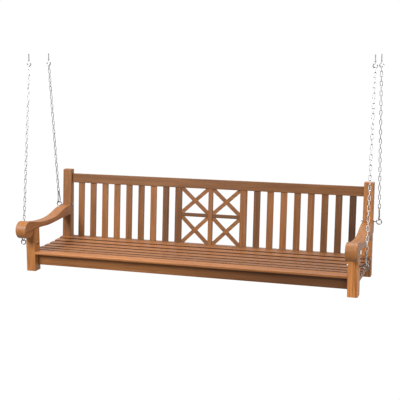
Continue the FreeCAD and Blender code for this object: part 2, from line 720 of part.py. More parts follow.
def lattice():
    """Two bars in each of the four cells of the middle panel."""
    inside = "(panel_half_width - stile_width)"
    centre = "centre_stile_width / 2"
    columns = {"left": ("-" + inside, "-" + centre), "right": (centre, inside)}
    rows = {"lower": ("0", "mid_rail_bottom"),
            "upper": ("(mid_rail_bottom + mid_rail_height)", "back_opening")}
    for direction, rising in (("rising", True), ("falling", False)):
        pieces = []
        for row, (z_low, z_high) in rows.items():
            for column, (x_low, x_high) in columns.items():
                name = "%s_%s_%s_bar" % (row, column, direction)
                pieces.append(lattice_bar(name, x_low, x_high, z_low, z_high, rising))
        group(direction + "_lattice_bars", pieces)


# ---------------------------------------------------------------- arms and pegs

def model_origin():
    """The model frame's origin, in the bench frame."""
    return Vector(0, (hook_y("front") + hook_y("rear")) / 2, size["ceiling_height"])


def post_face(z):
    """Y of the rear post's front face at a height."""
    return size["rear_post_y"] + size["back_slope"] * (z - size["back_foot"])


def eye_y(end):
    """Y of an eye bolt."""
    if end == "front":
        return size["front_eye_y"]
    return post_face(size["rear_eye_z"]) + size["rear_eye_setback"]


def hook_y(end):
    """Y of a ceiling hook."""
    run = size["front_chain_run"] if end == "front" else -size["rear_chain_run"]
    return eye_y(end) + run


def arm(word, side):
    """A shaped arm: a round scroll in front of the post and a swept rise to the rear post."""
    seat = size["front_post_height"]
    radius = size["arm_scroll_radius"]
    centre = Vector(0, size["arm_scroll_y"], seat + size["arm_scroll_rise"])
    across = math.sqrt(radius ** 2 - size["arm_scroll_rise"] ** 2)
    notch = Vector(0, centre.y + across, seat)
    front = Vector(0, centre.y - radius, centre.z)
    leave = centre + Vector(0, math.cos(ARM_TANGENT), math.sin(ARM_TANGENT)) * radius
    point = lambda share, rise: Vector(0, share * size["rear_post_y"], seat + rise)
    top_end = Vector(0, post_face(seat + ARM_TOP_END), seat + ARM_TOP_END)
    under_end = Vector(0, post_face(seat + ARM_UNDER_END), seat + ARM_UNDER_END)
    post_back = Vector(0, size["front_post_depth"], seat)
    top = Part.BSplineCurve()
    top.interpolate(Points=[leave] + [point(*item) for item in ARM_TOP] + [top_end],
                    InitialTangent=Vector(0, math.sin(ARM_TANGENT), -math.cos(ARM_TANGENT)),
                    FinalTangent=Vector(0, 1, 0))
    under = Part.BSplineCurve()
    under.interpolate(Points=[under_end] + [point(*item) for item in reversed(ARM_UNDER)]
                      + [post_back], FinalTangent=Vector(0, -1, 0),
                      InitialTangent=Vector(0, -1, 0))
    edges = [
        Part.LineSegment(post_back, notch).toShape(),
        Part.Arc(notch, front, leave).toShape(),
        top.toShape(),
        Part.LineSegment(top_end, under_end).toShape(),
        under.toShape(),
    ]
    face = Part.Face(Part.Wire(Part.__sortEdges__(edges)))
    solid = face.extrude(Vector(size["arm_width"], 0, 0))
    straight = lambda edge: abs(edge.tangentAt(edge.FirstParameter).x) > 0.9
    ends = lambda edge: abs(edge.CenterOfMass.z - (seat + ARM_TOP_END / 2)) < 30 and (
        edge.CenterOfMass.y > size["rear_post_y"])
    chosen = [edge for edge in solid.Edges
              if not straight(edge) and not ends(edge)
              and not (edge.Length < size["front_post_depth"] + across
                       and abs(edge.CenterOfMass.z - seat) < 0.01)]
    solid = solid.makeFillet(size["arm_round"], chosen)
    feature = doc.addObject("Part::Feature", word + "_arm")
    feature.Shape = solid
    inner = size["bench_length"] / 2 - size["post_width"]
    x = inner if side > 0 else -inner - size["arm_width"]
    feature.Placement = Placement(Vector(x, 0, 0) - model_origin(), Rotation())
    keep(feature, feature.Name)


def rod(name, radius, length, where, direction):
    """A bound cylinder that starts at where and runs along +X, +Y or +Z."""
    piece = doc.addObject("Part::Cylinder", name)
    piece.setExpression("Radius", bind(radius))
    piece.setExpression("Height", bind(length))
    turn = {"X": ("0; 1; 0", "90"), "Y": ("1; 0; 0", "-90"), "Z": ("0; 0; 1", "0")}[direction]
    place(piece, where, *turn)
    return piece


def joint_pegs():
    """Wooden pegs across the tenons and dowels that hold the arms."""
    pieces = []
    rail_z = "(front_rail_bottom + %s) / 2" % SLAT_UNDERSIDE
    side_z = "(side_rail_bottom + tenon_shoulder + side_tenon_height / 2)"
    for word, side in SIDES:
        tenon_x = "%d * (%s + tenon_length / 2)" % (side, INNER)
        pieces.append(rod(word + "_front_peg", "peg_radius", "(front_post_depth / 2 + peg_proud)",
                          (tenon_x, "front_post_depth / 2", rail_z), "Y"))
        for label, along in (("lower", "-rear_rail_height / 2"),
                             ("upper", "(back_opening + top_rail_height / 2)")):
            peg = doc.addObject("Part::Cylinder", "%s_%s_back_peg" % (word, label))
            peg.setExpression("Radius", bind("peg_radius"))
            peg.setExpression("Height", bind("(top_rail_thickness + 2 * peg_proud)"))
            run = "(%s + %s * sin(%s))" % (BACK_Y, along, LEAN)
            rise = "(back_foot + %s * cos(%s))" % (along, LEAN)
            place(peg, (tenon_x, "%s - top_rail_thickness / 2" % run, rise), "1; 0; 0", "-90")
            pieces.append(peg)
        for label, y in (("front", "(front_post_depth - tenon_length / 2)"),
                         ("rear", "(rear_post_y + tenon_length / 2)")):
            start = "(%s - peg_proud)" % INNER if side > 0 else "-" + SIDE_RAIL_OUTER
            pieces.append(rod("%s_%s_side_peg" % (word, label), "peg_radius",
                              "(post_width - side_rail_inset + peg_proud)", (start, y, side_z), "X"))
        arm_x = "%d * (%s + post_width / 2)" % (side, INNER)
        pieces.append(rod(word + "_arm_dowel", "arm_dowel_radius", "arm_dowel_length",
                          (arm_x, "front_post_depth / 2",
                           "(front_post_height - arm_dowel_length / 2)"), "Z"))
        arm_end = "(rear_post_y + back_slope * (front_post_height + %.1f - back_foot))" % (
            ARM_TOP_END / 2)
        pieces.append(rod(word + "_arm_end_dowel", "arm_dowel_radius", "arm_dowel_length / 2",
                          (arm_x, "%s - arm_dowel_length / 4" % arm_end,
                           "(front_post_height + %.1f)" % (ARM_TOP_END / 2)), "Y"))
    group("joint_pegs", pieces)


# ---------------------------------------------------------------- eye bolts

EYES = (("front", "front_eye_y", "front_eye_z"), ("rear", REAR_EYE_Y, "rear_eye_z"))


def eye_bolts():
    """Four ring bolts through the posts, with a nut and a washer on both faces of each."""
    bolts = []
    nuts = []
    washers = []
    for word, side in SIDES:
        for end, y, z in EYES:
            name = "%s_%s_eye" % (word, end)
            ring = doc.addObject("Part::Torus", name + "_ring")
            ring.setExpression("Radius1", bind("eye_radius"))
            ring.setExpression("Radius2", bind("eye_wire"))
            text = "placement(vector(%d * (%s + eye_standoff); %s + %s; %s + %s); %s)"
            turn = "rotation(vector(1; 0; 0); 90) * rotation(vector(0; 0; 1); %d)" % (90 - 90 * side)
            ring.setExpression("Placement", bind(
                text % (side, OUTER, SHIFT_Y, y, SHIFT_Z, z, turn)))
            # The shank ends in a thinner neck, which is welded into the ring.
            shank = eye_rod(name + "_shank", side, y, z, "eye_wire", "(eye_wire + eye_neck_step)")
            neck = eye_rod(name + "_neck", side, y, z, "(eye_wire - eye_neck_step)", "0")
            bolt = doc.addObject("Part::MultiFuse", name + "_bolt")
            bolt.Shapes = [ring, shank, neck]
            bolts.append(bolt)
            for label, face, way in (("inner", INNER, -side), ("outer", OUTER, side)):
                at = "%d * %s" % (side, face)
                nuts.append(nut("%s_%s_nut" % (name, label), at, y, z, way))
                washers.append(washer("%s_%s_washer" % (name, label), at, y, z, way))
    group("eye_bolts", bolts)
    group("eye_bolt_nuts", nuts)
    group("eye_bolt_washers", washers)


def eye_rod(name, side, y, z, radius, short):
    """A rod along X from beyond a post's inner face towards the ring, short of its wire."""
    length = "(post_width + eye_standoff - eye_radius + eye_tip - %s)" % short
    start = "(%s - eye_tip)" % INNER if side > 0 else "(-%s + eye_tip - %s)" % (INNER, length)
    return rod(name, radius, length, (start, y, z), "X")


def washer(name, face, y, z, way):
    """A round washer on a post face, cut to clear the bolt."""
    start = face if way > 0 else "(%s - washer_thickness)" % face
    disc = rod(name + "_disc", "washer_radius", "washer_thickness", (start, y, z), "X")
    bore = rod(name + "_bore", "eye_wire + washer_play", "washer_thickness", (start, y, z), "X")
    piece = doc.addObject("Part::Cut", name)
    piece.Base = disc
    piece.Tool = bore
    return piece


def nut(name, face, y, z, way):
    """A hexagon nut outside its washer."""
    start = "(%s + washer_thickness)" % face if way > 0 else (
        "(%s - washer_thickness - nut_thickness)" % face)
    prism = doc.addObject("Part::Prism", name + "_hexagon")
    prism.Polygon = 6
    prism.setExpression("Circumradius", bind("nut_flats / sqrt(3)"))
    prism.setExpression("Height", bind("nut_thickness"))
    place(prism, (start, y, z), "0; 1; 0", "90")
    bore = rod(name + "_bore", "eye_wire + nut_play", "nut_thickness", (start, y, z), "X")
    piece = doc.addObject("Part::Cut", name)
    piece.Base = prism
    piece.Tool = bore
    return piece


# ---------------------------------------------------------------- ceiling hooks

def hook_shape():
    """A bent rod in the XZ plane, with its origin on the ceiling in the middle of its shank."""
    radius = size["hook_radius"]
    wire = size["hook_wire"]
    turn = size["hook_shoulder_radius"]
    bend = math.acos(turn / (radius + turn))
    middle = Vector(0, 0, -hook_drop() + radius)
    shoulder = Vector(-turn, 0, middle.z + (radius + turn) * math.sin(bend))
    on = lambda centre, reach, angle: centre + Vector(math.cos(angle), 0, math.sin(angle)) * reach
    top = Vector(0, 0, size["hook_screw_length"])
    meet = on(middle, radius, math.pi - bend)
    tip = on(middle, radius, 2 * math.pi + HOOK_TIP)
    path = Part.Wire([
        Part.LineSegment(top, on(shoulder, turn, 0)).toShape(),
        Part.Arc(on(shoulder, turn, 0), on(shoulder, turn, -bend / 2), meet).toShape(),
        Part.Arc(meet, on(middle, radius, 1.5 * math.pi), tip).toShape(),
    ])
    section = Part.Wire(Part.Circle(top, Vector(0, 0, 1), wire).toShape())
    rod_shape = path.makePipeShell([section], True, False)
    point = Part.makeSphere(size["hook_tip_radius"], tip)
    collar = Part.makeCylinder(size["hook_collar_radius"], size["hook_collar_thickness"],
                               Vector(0, 0, -size["hook_collar_thickness"]))
    return rod_shape.fuse([collar, point]).removeSplitter()


def hook_drop():
    """Ceiling to the middle of the hook's wire at its lowest."""
    return size["hook_neck"] + 2 * size["hook_radius"]


def ceiling_hooks():
    """Four screw hooks: an open bend, a collar against the ceiling and a shank above it."""
    shape = hook_shape()
    hooks = []
    for _, side in SIDES:
        for end in ("front", "rear"):
            top, _ = chain_ends(end, side)
            copy = shape.copy()
            turn = Rotation(Vector(0, 0, 1), 90 - 90 * side)
            copy.Placement = Placement(Vector(top.x, top.y, size["ceiling_height"]), turn)
            hooks.append(copy)
    feature = doc.addObject("Part::Feature", "ceiling_hooks")
    feature.Shape = Part.makeCompound(hooks)
    feature.Placement = Placement(-model_origin(), Rotation())
    keep(feature, feature.Name)


# ---------------------------------------------------------------- chains and snap hooks

def chain_ends(end, side):
    """Where a chain turns: the middle of the hook's wire and of the eye's wire, bench frame."""
    x = side * (size["bench_length"] / 2 + size["eye_standoff"])
    top = Vector(x, hook_y(end), size["ceiling_height"] - hook_drop())
    foot = Vector(x, eye_y(end), size[end + "_eye_z"] + size["eye_radius"])
    return top, foot


def chain_placement(end, side):
    """Local frame of a chain: origin on the eye's wire, +Z up along the chain."""
    top, foot = chain_ends(end, side)
    step = top - foot
    lean = math.degrees(math.atan2(-step.y, step.z))
    return Placement(foot - model_origin(), Rotation(Vector(1, 0, 0), lean)), step.Length


def link_pattern():
    """One welded link, lying in the XZ plane round its own middle."""
    bend = "(link_inner_width / 2 + link_wire)"
    rise = "(link_inner_length / 2 - link_inner_width / 2)"
    pieces = []
    for word, sign, start in (("top", 1, 0), ("bottom", -1, 180)):
        arc = doc.addObject("Part::Torus", "link_%s_bend" % word)
        arc.setExpression("Radius1", bind(bend))
        arc.setExpression("Radius2", bind("link_wire"))
        arc.Angle3 = 180.0
        text = "placement(vector(0; 0; %d * %s); %s * %s)"
        spin = "rotation(vector(0; 0; 1); %d)" % start
        arc.setExpression("Placement", bind(
            text % (sign, rise, "rotation(vector(1; 0; 0); 90)", spin)))
        pieces.append(arc)
    for word, sign in SIDES:
        leg = doc.addObject("Part::Cylinder", "link_%s_leg" % word)
        leg.setExpression("Radius", bind("link_wire"))
        leg.setExpression("Height", bind("2 * " + rise))
        text = "placement(vector(%d * %s; 0; -%s); rotation(vector(0; 0; 1); 0))"
        leg.setExpression("Placement", bind(text % (sign, bend, rise)))
        pieces.append(leg)
    link = doc.addObject("Part::MultiFuse", "link_pattern")
    link.Shapes = pieces
    link.Refine = True
    doc.recompute()
    return link


def snap_top():
    """Height of the snap hook's inner top over the eye's wire, and its lowest centre line."""
    low = -(size["snap_wire"] + size["eye_wire"] + size["link_gap"])
    return low + size["snap_length"] - 3 * size["snap_wire"], low


def link_count(span):
    """The even number of links that fills a span, and the length that they share."""
    inner_top, _ = snap_top()
    # From the inner top of the snap hook to the inner top of the first link.
    stretch = span + size["hook_wire"] - inner_top
    pairs = stretch / (size["link_inner_length"] - size["link_gap"]) / 2
    return 2 * math.ceil(pairs), stretch


def chain(word, side, end, link):
    """A taut row of links, each turned a quarter turn from the next."""
    frame, span = chain_placement(end, side)
    count, stretch = link_count(span)
    inside = size["link_inner_length"]
    gap = (count * inside - stretch) / (count + 1)
    top = span + size["hook_wire"] + gap
    links = []
    for index in range(count):
        middle = top - inside / 2 - index * (inside - gap)
        turn = 90 if index % 2 == 0 else 0
        copy = link.Shape.copy()
        copy.Placement = Placement(Vector(0, 0, middle), Rotation(Vector(0, 0, 1), turn))
        links.append(copy)
    feature = doc.addObject("Part::Feature", "%s_%s_chain" % (end, word))
    feature.Shape = Part.makeCompound(links)
    feature.Placement = frame
    keep(feature, feature.Name)
    print("%s: %d links, gap %.2f, span %.1f" % (feature.Name, count, gap, span))


def snap_outline():
    """Key points of the snap hook's centre line in its YZ plane, gate side at -Y."""
    narrow = size["snap_narrow_radius"]
    wide = size["snap_wide_radius"]
    _, low = snap_top()
    apart = size["snap_length"] - 2 * size["snap_wire"] - narrow - wide
    sine = (wide - narrow) / apart
    cosine = math.sqrt(1 - sine ** 2)
    wide_centre = Vector(0, 0, low + wide)
    narrow_centre = wide_centre + Vector(0, 0, apart)
    normal = {-1: Vector(0, -cosine, sine), 1: Vector(0, cosine, sine)}
    along = Vector(0, sine, cosine)
    gate_side = lambda run: wide_centre + normal[-1] * wide + along * run
    return wide_centre, narrow_centre, normal, along, gate_side


def gate_turn(along):
    """Rotation that lays a +Z shape along the gate side of the snap hook."""
    return Rotation(Vector(0, 0, 1), along)


def snap_body_shape():
    """The bent wire, with a flat tongue at the gate's rivet."""
    wide_centre, narrow_centre, normal, along, gate_side = snap_outline()
    wide = size["snap_wide_radius"]
    narrow = size["snap_narrow_radius"]
    wire = size["snap_wire"]
    nose = gate_side(size["gate_start"] - size["gate_gap"])
    tail = gate_side(size["gate_hinge"] + wire)
    down = Vector(0, 0, -1)
    edges = [
        Part.LineSegment(nose, wide_centre + normal[-1] * wide).toShape(),
        Part.Arc(wide_centre + normal[-1] * wide, wide_centre + down * wide,
                 wide_centre + normal[1] * wide).toShape(),
        Part.LineSegment(wide_centre + normal[1] * wide,
                         narrow_centre + normal[1] * narrow).toShape(),
        Part.Arc(narrow_centre + normal[1] * narrow, narrow_centre - down * narrow,
                 narrow_centre + normal[-1] * narrow).toShape(),
        Part.LineSegment(narrow_centre + normal[-1] * narrow, tail).toShape(),
    ]
    section = Part.Wire(Part.Circle(nose, along, wire).toShape())
    body = Part.Wire(edges).makePipeShell([section], True, False)
    hinge = gate_side(size["gate_hinge"])
    half = size["snap_tongue"] / 2
    tongue = Part.makeCylinder(wire, 2 * half, hinge - Vector(half, 0, 0), Vector(1, 0, 0))
    blade = Part.makeBox(2 * half, 2 * wire, wire + half, Vector(-half, -wire, 0))
    blade.Placement = Placement(hinge, gate_turn(along)).multiply(blade.Placement)
    bore = Part.makeCylinder(size["gate_rivet"] + size["rivet_play"], 4 * wire,
                             hinge - Vector(2 * wire, 0, 0), Vector(1, 0, 0))
    return body.fuse([tongue, blade]).cut(bore).removeSplitter()


def gate_shape():
    """The gate: a bar whose two ears hold the rivet, and the rivet itself."""
    _, _, _, along, gate_side = snap_outline()
    hinge = gate_side(size["gate_hinge"])
    wire = size["snap_wire"]
    run = size["gate_hinge"] - size["gate_start"]
    ear = size["gate_ear"]
    inner = size["snap_tongue"] / 2 + size["gate_gap"]
    reach = wire + 2 * size["gate_gap"]
    # Built hanging down from the hinge, which is at the local origin.
    bar = Part.makeCylinder(size["gate_wire"], run - reach, Vector(0, 0, -run), Vector(0, 0, 1))
    pieces = []
    for sign in (-1, 1):
        x = inner if sign > 0 else -inner - ear
        plate = Part.makeBox(ear, 2 * size["gate_wire"], reach + wire,
                             Vector(x, -size["gate_wire"], -reach - wire))
        round_end = Part.makeCylinder(size["gate_wire"], ear, Vector(x, 0, 0), Vector(1, 0, 0))
        pieces += [plate, round_end]
    rivet_length = 2 * (inner + ear + size["rivet_proud"])
    start = Vector(-rivet_length / 2, 0, 0)
    rivet = Part.makeCylinder(size["gate_rivet"], rivet_length, start, Vector(1, 0, 0))
    gate = bar.fuse(pieces).cut(rivet).removeSplitter()
    whole = Part.makeCompound([gate, rivet])
    whole.Placement = Placement(hinge, gate_turn(along))
    return whole


def snap_hook(word, side, end):
    """A spring snap hook between the chain and the eye bolt, and its gate."""
    frame, _ = chain_placement(end, side)
    for name, shape in (("snap_hook", snap_body_shape()), ("snap_gate", gate_shape())):
        feature = doc.addObject("Part::Feature", "%s_%s_%s" % (end, word, name))
        feature.Shape = shape
        feature.Placement = frame.multiply(shape.Placement)
        keep(feature, feature.Name)


# ---------------------------------------------------------------- assembly

def build():
    fill_sheet()
    for word, side in SIDES:
        front_post(word, side)
        rear_post(word, side)
        side_rail(word, side)
        arm(word, side)
    front_rail()
    seat_bearers()
    for number in range(1, SEAT_SLATS + 1):
        seat_slat(number)
    seat_screws()
    back_rail("rear_rail", "-rear_rail_height", "0", "rear_rail_thickness",
              "-" + HOUSING)
    back_rail("top_rail", "back_opening", "(back_opening + top_rail_height)",
              "top_rail_thickness", "back_opening")
    for word, places in zip(("left", "right"), slat_places()):
        for index, middle in enumerate(places, start=1):
            name = "%s_back_slat_%d" % (word, index)
            keep(upright(name, middle, "back_slat_width", "back_slat_thickness"), name)
    stiles()
    mid_rails()
    lattice()
    joint_pegs()
    eye_bolts()
    ceiling_hooks()
    link = link_pattern()
    for word, side in SIDES:
        for end in ("front", "rear"):
            chain(word, side, end, link)
            snap_hook(word, side, end)
    doc.recompute()


def check():
    """Stop before writing if any object failed or any node is empty or broken."""
    for item in doc.Objects:
        if "Invalid" in item.State or "Error" in item.State:
            raise ValueError("%s is %s" % (item.Name, item.State))
    for node in nodes:
        if node.Shape.isNull() or not node.Shape.isValid() or not node.Shape.Solids:
            raise ValueError("%s has no sound solid" % node.Label)


def write():
    os.makedirs("parts", exist_ok=True)
    for node in nodes:
        node.Shape.exportStep(os.path.join("parts", node.Label + ".step"))


def report_balance():
    """Print where the bench balances, in the bench frame."""
    hung = [node for node in nodes if not re.search("chain|snap|ceiling", node.Label)]
    total = 0.0
    moment = Vector(0, 0, 0)
    for node in hung:
        for solid in node.Shape.Solids:
            weight = solid.Volume * (STEEL if re.search("eye|screws", node.Label) else TEAK)
            total += weight
            moment += solid.CenterOfMass * weight
    middle = moment * (1 / total) + model_origin()
    print("bench %.1f kg balances at y %.1f, z %.1f" % (total / 1e6, middle.y, middle.z))


build()
check()
report_balance()
write()
print("%d nodes" % len(nodes))
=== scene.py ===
import math
import random

import bmesh
import bpy
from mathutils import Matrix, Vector


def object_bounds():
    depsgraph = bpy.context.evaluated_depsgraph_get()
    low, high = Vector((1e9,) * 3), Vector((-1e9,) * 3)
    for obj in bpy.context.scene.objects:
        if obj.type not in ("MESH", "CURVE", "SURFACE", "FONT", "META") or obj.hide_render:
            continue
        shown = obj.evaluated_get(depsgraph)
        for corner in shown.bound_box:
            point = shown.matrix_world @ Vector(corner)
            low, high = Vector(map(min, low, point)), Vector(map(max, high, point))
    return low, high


# The looks of a teak porch swing on four chains. Every visible piece is a CAD node that keeps
# its shape; here each gets procedural wood or steel, and the studio is built round them.
# Lengths are metres, in the CAD frame: X along the bench, Y backwards, Z up, origin on the ceiling.

# Camera: standing to the right of the middle, a little above the back, looking left and down.
CAMERA_PLACE = (2.1105, -6.2729, 0.0991)
CAMERA_YAW = 18.51
CAMERA_PITCH = -9.44
CAMERA_ROLL = 0.10
CAMERA_LENS = 83.33
SENSOR_WIDTH = 36.0

# Studio: a shining floor below the bench, a shell that is seen and a shell that gloss mirrors.
FLOOR_DROP = 1.30
FLOOR_SPAN = 60.0
DOME_RADIUS = 28.0
GLOSS_RADIUS = 20.0
CARD_GLOW = 1.02
WORLD_LIGHT = 0.36
SEAT_RISE = 0.2
# Area lights: name, place from the middle of the seat, side length, power in watts.
LIGHTS = (
    ("key", (-3.0, -4.4, 3.4), 2.2, 455.0),
    ("fill", (4.4, -3.6, 1.4), 3.0, 120.0),
    ("top", (0.4, 0.9, 4.2), 3.0, 170.0),
)

# Colours of oiled teak at tone 1, and how far the back leans.
TEAK_LIGHT = (0.400, 0.172, 0.054)
TEAK_MIDDLE = (0.270, 0.101, 0.025)
TEAK_DARK = (0.112, 0.034, 0.0068)
BACK_LEAN = math.atan(0.0814)
GRAIN_AXES = {"X": 0, "Y": 1, "Z": 2}

# Reach of the worn edges, and of the painted shade (standing also for dirt) in the joints and
# crevices.
EDGE_WEAR = 0.004
SHADE_AND_DIRT_REACH = 0.018
STEEL_SHADE_AND_DIRT_REACH = 0.004

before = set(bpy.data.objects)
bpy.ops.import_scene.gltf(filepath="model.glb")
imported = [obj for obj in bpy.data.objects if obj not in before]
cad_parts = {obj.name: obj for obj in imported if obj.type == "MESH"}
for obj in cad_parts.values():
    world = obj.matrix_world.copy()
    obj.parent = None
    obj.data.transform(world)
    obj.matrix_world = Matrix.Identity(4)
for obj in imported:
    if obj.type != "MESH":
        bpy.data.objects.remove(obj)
cad_low, cad_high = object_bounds()


# ---------------------------------------------------------------- node graph helpers

class Graph:
    """Short calls that add shader nodes and join them."""

    def __init__(self, material):
        material.use_nodes = True
        self.tree = material.node_tree
        self.tree.nodes.clear()

    def add(self, kind, **settings):
        node = self.tree.nodes.new(kind)
        for name, value in settings.items():
            setattr(node, name, value)
        return node

    def join(self, source, target):
        self.tree.links.new(source, target)

    def feed(self, socket, value):
        """Link a socket to another node's output, or set it to a plain value."""
        if isinstance(value, bpy.types.NodeSocket):
            self.join(value, socket)
        else:
            socket.default_value = value

    def math(self, operation, first, second=0.0, clamp=False):
        node = self.add("ShaderNodeMath", operation=operation, use_clamp=clamp)
        self.feed(node.inputs[0], first)
        self.feed(node.inputs[1], second)
        return node.outputs[0]

    def noise(self, vector, scale, detail=2.0, roughness=0.5, distortion=0.0):
        node = self.add("ShaderNodeTexNoise")
        self.join(vector, node.inputs["Vector"])
        node.inputs["Scale"].default_value = scale
        node.inputs["Detail"].default_value = detail
        node.inputs["Roughness"].default_value = roughness
        node.inputs["Distortion"].default_value = distortion
        return node.outputs["Fac"]

    def stretch(self, vector, scale, offset=(0.0, 0.0, 0.0)):
        node = self.add("ShaderNodeMapping")
        self.join(vector, node.inputs["Vector"])
        node.inputs["Scale"].default_value = scale
        node.inputs["Location"].default_value = offset
        return node.outputs["Vector"]

    def ramp(self, value, stops):
        """A colour ramp through (position, colour) stops."""
        node = self.add("ShaderNodeValToRGB")
        self.join(value, node.inputs["Fac"])
        elements = node.color_ramp.elements
        while len(elements) < len(stops):
            elements.new(0.5)
        for element, (position, colour) in zip(elements, stops):
            element.position = position
            element.color = tuple(colour) + (1.0,)
        return node.outputs["Color"]

    def span(self, value, low, high, to_low=0.0, to_high=1.0):
        """Map a value's range to another, clamped."""
        node = self.add("ShaderNodeMapRange")
        self.join(value, node.inputs["Value"])
        for name, number in (("From Min", low), ("From Max", high), ("To Min", to_low),
                             ("To Max", to_high)):
            node.inputs[name].default_value = number
        return node.outputs["Result"]

    def mix(self, amount, first, second, blend="MIX"):
        node = self.add("ShaderNodeMix", data_type="RGBA", blend_type=blend)
        self.feed(node.inputs["Factor"], amount)
        colours = [item for item in node.inputs if item.type == "RGBA"]
        self.feed(colours[0], first)
        self.feed(colours[1], second)
        return [item for item in node.outputs if item.type == "RGBA"][0]

    def bump(self, height, strength, distance):
        node = self.add("ShaderNodeBump")
        self.join(height, node.inputs["Height"])
        node.inputs["Strength"].default_value = strength
        node.inputs["Distance"].default_value = distance
        return node.outputs["Normal"]

    def finish(self, colour, roughness, normal, metallic=0.0, specular=0.5):
        shader = self.add("ShaderNodeBsdfPrincipled")
        self.feed(shader.inputs["Base Color"], colour)
        self.feed(shader.inputs["Roughness"], roughness)
        self.join(normal, shader.inputs["Normal"])
        shader.inputs["Metallic"].default_value = metallic
        shader.inputs["Specular IOR Level"].default_value = specular
        out = self.add("ShaderNodeOutputMaterial")
        self.join(shader.outputs["BSDF"], out.inputs["Surface"])


# ---------------------------------------------------------------- teak

def shade(colour, tone):
    return tuple(min(1.0, channel * tone) for channel in colour)


def grain(graph, base, long_way):
    """Streaks, rings, fibres and pores that run along one axis."""

    def along(across_scale, long_scale):
        scale = [across_scale] * 3
        scale[long_way] = long_scale
        return graph.stretch(base, scale)

    # Growth rings, cut at a slant: broad soft bands that wander along the board.
    wander = graph.noise(along(9.0, 0.9), 1.0, 3.0, 0.55)
    band_base = graph.noise(along(34.0, 0.55), 1.0, 4.0, 0.6, 0.6)
    rings = graph.math("SINE", graph.math("MULTIPLY", graph.math(
        "ADD", band_base, graph.math("MULTIPLY", wander, 1.4)), 34.0))
    rings = graph.math("MULTIPLY_ADD", rings, 0.5)
    rings.node.inputs[2].default_value = 0.5
    streak = graph.noise(along(85.0, 1.6), 1.0, 3.0, 0.6)
    fibre = graph.noise(along(620.0, 14.0), 1.0, 3.0, 0.65)
    pores = graph.span(graph.noise(along(1100.0, 60.0), 1.0, 1.0), 0.62, 0.74)
    cloud = graph.noise(along(3.2, 1.1), 1.0, 2.0)
    figure = graph.math("ADD", graph.math("MULTIPLY", streak, 0.50),
                        graph.math("MULTIPLY", rings, 0.13))
    figure = graph.math("ADD", figure, graph.math("MULTIPLY", fibre, 0.20))
    figure = graph.math("ADD", figure, graph.math("MULTIPLY", cloud, 0.30))
    return figure, rings, streak, fibre, pores


def wear_and_shade(graph, colour, normal, fibre, worn, dirt_and_shade):
    """Sanded edges are paler; joints and crevices get painted shade from occlusion, which stands
    for dirt and oil as well.
    """
    rounded = graph.add("ShaderNodeBevel", samples=4)
    rounded.inputs["Radius"].default_value = EDGE_WEAR
    match = graph.add("ShaderNodeVectorMath", operation="DOT_PRODUCT")
    graph.join(rounded.outputs["Normal"], match.inputs[0])
    graph.join(normal, match.inputs[1])
    edge = graph.span(match.outputs["Value"], 0.995, 0.90, 0.0, 0.40)
    edge = graph.math("MULTIPLY", edge, graph.span(fibre, 0.35, 0.6))
    colour = graph.mix(edge, colour, worn)
    # Painted shade: ambient occlusion darkens joints and crevices, standing also for dirt and oil.
    occlusion_shade = graph.add("ShaderNodeAmbientOcclusion", samples=4)
    occlusion_shade.inputs["Distance"].default_value = SHADE_AND_DIRT_REACH
    return graph.mix(graph.span(occlusion_shade.outputs["AO"], 0.75, 0.15, 0.0, 0.55), colour, dirt_and_shade)


def teak(name, axis, tone, warmth=0.0, leaning=False, darker_right=0.0, painted_front_shade=0.0):
    """Oiled teak with its grain along one axis; the name seeds its figure.

    darker_right darkens the board towards +X, and the last argument paints shade on faces that look
    to -Y.
    """
    chance = random.Random(name)
    material = bpy.data.materials.new("teak_" + name)
    graph = Graph(material)
    where = graph.add("ShaderNodeTexCoord").outputs["Object"]
    turn = graph.add("ShaderNodeMapping")
    graph.join(where, turn.inputs["Vector"])
    turn.inputs["Rotation"].default_value = (BACK_LEAN if leaning else 0.0, 0.0, 0.0)
    turn.inputs["Location"].default_value = [chance.uniform(-9.0, 9.0) for _ in range(3)]
    figure, rings, streak, fibre, pores = grain(graph, turn.outputs["Vector"], GRAIN_AXES[axis])

    light = (TEAK_LIGHT[0] + warmth,) + TEAK_LIGHT[1:]
    middle = (TEAK_MIDDLE[0] + warmth,) + TEAK_MIDDLE[1:]
    # Dark teak for pores and stains, and also for the painted shade in joints and on front faces.
    stain_and_shade = lambda share: shade(TEAK_DARK, tone * share) + (1.0,)
    colour = graph.ramp(figure, (
        (0.33, shade(TEAK_DARK, tone)), (0.50, shade(middle, tone)),
        (0.60, shade(middle, tone * 1.12)), (0.76, shade(light, tone))))
    colour = graph.mix(graph.math("MULTIPLY", pores, 0.45), colour, stain_and_shade(0.55))
    if darker_right:
        split = graph.add("ShaderNodeSeparateXYZ")
        graph.join(where, split.inputs[0])
        side = graph.span(split.outputs["X"], -0.4, 0.7, 0.0, darker_right)
        colour = graph.mix(side, colour, stain_and_shade(0.8))
    normal = graph.add("ShaderNodeNewGeometry").outputs["Normal"]
    colour = wear_and_shade(graph, colour, normal, fibre, shade(light, tone * 1.25) + (1.0,), stain_and_shade(0.6))
    # Painted shade: faces that look to -Y, the slats' fronts seen in the gaps, are darkened.
    if painted_front_shade:
        facing = graph.add("ShaderNodeSeparateXYZ")
        graph.join(normal, facing.inputs[0])
        front_shade_mask = graph.span(facing.outputs["Y"], -0.55, -0.90, 0.0, painted_front_shade)
        colour = graph.mix(front_shade_mask, colour, stain_and_shade(0.35))

    roughness = graph.span(graph.math("ADD", streak, fibre), 0.7, 1.3, 0.38, 0.60)
    height = graph.math("SUBTRACT", graph.math("MULTIPLY", fibre, 0.7),
                        graph.math("MULTIPLY", pores, 0.8))
    height = graph.math("ADD", height, graph.math("MULTIPLY", rings, 0.25))
    graph.finish(colour, roughness, graph.bump(height, 0.35, 0.0008), specular=0.42)
    return material


def dress(node, material):
    """Give a CAD node its material."""
    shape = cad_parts[node]
    shape.data.materials.clear()
    shape.data.materials.append(material)
    for face in shape.data.polygons:
        face.material_index = 0


